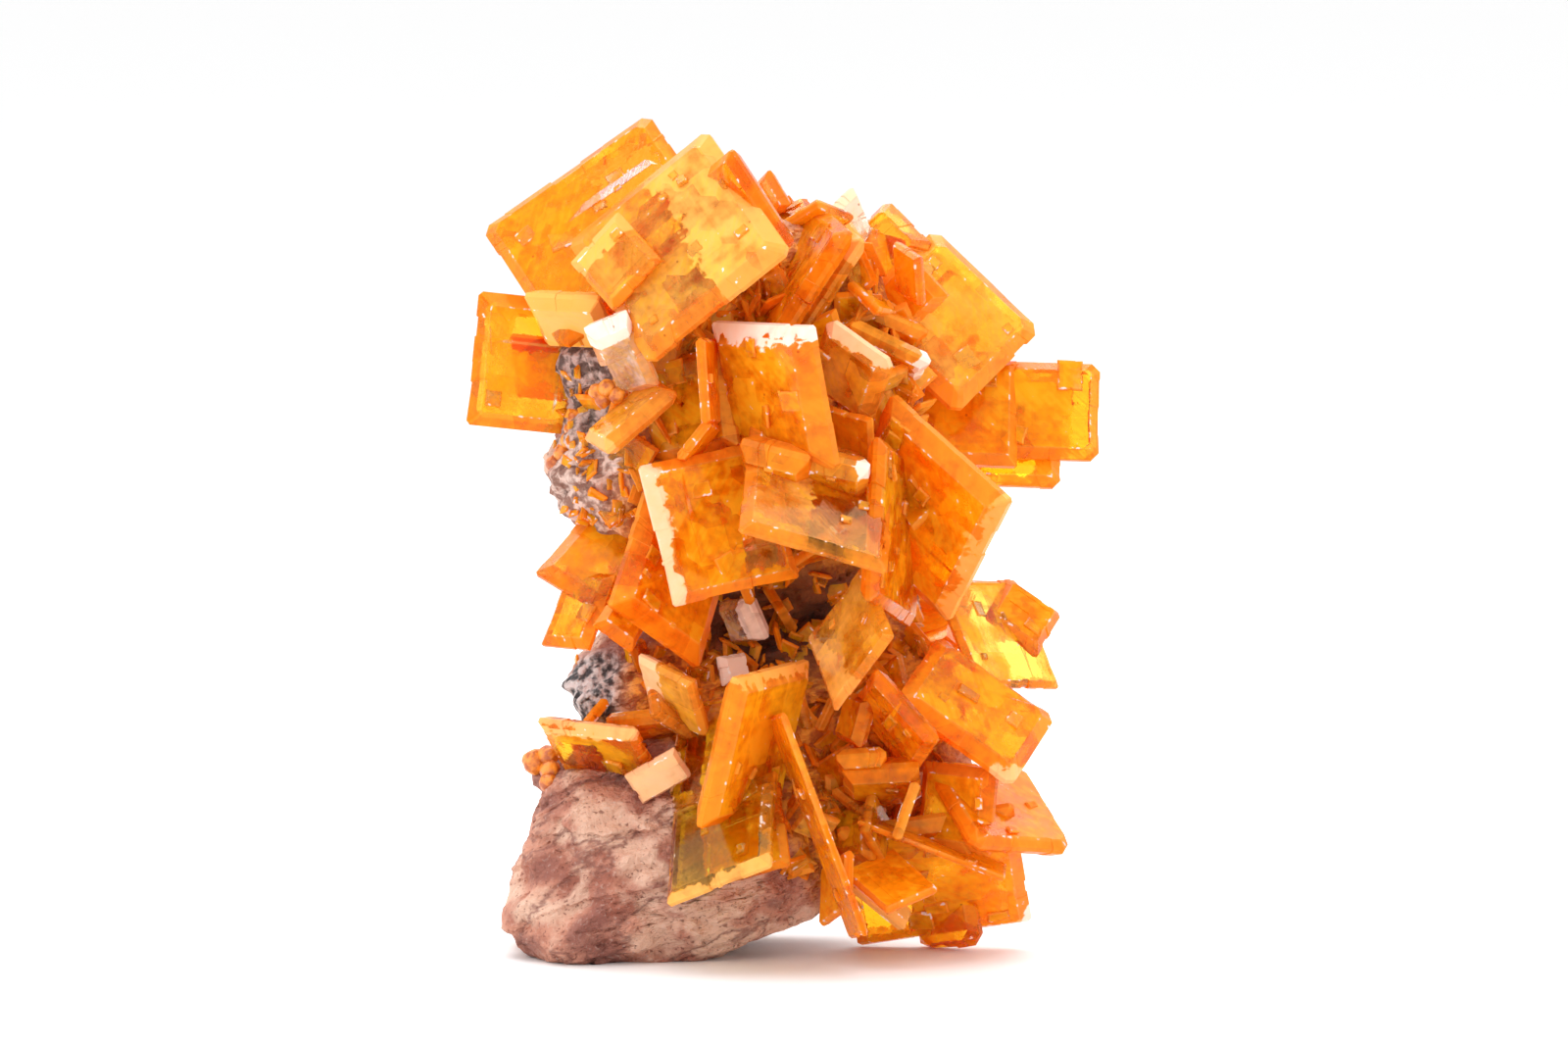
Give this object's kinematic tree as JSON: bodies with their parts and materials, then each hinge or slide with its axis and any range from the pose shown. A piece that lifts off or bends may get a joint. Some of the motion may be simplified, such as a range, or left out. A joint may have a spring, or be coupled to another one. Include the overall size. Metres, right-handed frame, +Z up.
{
  "type": "wulfenite on matrix",
  "caption": "Upright mineral specimen: see-through orange square wulfenite plates standing out all round from a pale pink rock, with small round mimetite beads.",
  "frame": {"origin": "centre of the flat underside of the rock block that the specimen rests on", "axes": "+Z up the spine of the rock, +X to the right seen from the front, -Y towards the front that the large plates face"},
  "size_m": [0.0458, 0.0315, 0.0598],
  "materials": {
    "wulfenite": "clear to cloudy orange crystal, adamantine lustre, bevelled rims",
    "matrix_rock": "rough broken pinkish rock with cream, mauve and dark patches",
    "mimetite": "waxy orange-brown round beads"
  },
  "bodies": {
    "root": {"back_low_plate": "wulfenite", "back_low_small_plate": "wulfenite", "back_middle_plate": "wulfenite", "back_middle_small_plate": "wulfenite", "back_right_plate": "wulfenite", "back_upper_plate": "wulfenite", "back_upper_small_plate": "wulfenite", "bar_plates": "wulfenite", "base_beads": "mimetite", "bottom_right_plates": "wulfenite", "centre_left_plate": "wulfenite", "centre_plate": "wulfenite", "crown_front_plates": "wulfenite", "crown_left_plates": "wulfenite", "crown_stack": "wulfenite", "diamond_plate": "wulfenite", "far_right_plates": "wulfenite", "frosted_plate": "wulfenite", "hidden_plate": "wulfenite", "left_beads": "mimetite", "left_low_block": "wulfenite", "left_low_plate": "wulfenite", "left_middle_plates": "wulfenite", "left_plates": "wulfenite", "long_blade": "wulfenite", "lower_centre_plates": "wulfenite", "lower_right_plates": "wulfenite", "matrix": "matrix_rock", "needle_plate": "wulfenite", "olive_plates": "wulfenite", "pale_plate": "wulfenite", "peach_bar": "wulfenite", "pearl_plate": "wulfenite", "pink_blades": "wulfenite", "recess_block": "wulfenite", "recess_bright_block": "wulfenite", "right_front_plates": "wulfenite", "right_low_plates": "wulfenite", "right_of_centre_plate": "wulfenite", "right_stepped_plates": "wulfenite", "right_upper_plates": "wulfenite", "slanted_block": "wulfenite", "small_left_block": "wulfenite", "sparkling_block": "wulfenite", "square_blocks": "wulfenite", "thin_right_plate": "wulfenite", "tongue_plate": "wulfenite", "top_spikes": "wulfenite", "upper_beads": "mimetite", "white_spike": "wulfenite", "window_plate": "wulfenite"}
  },
  "joints": []
}
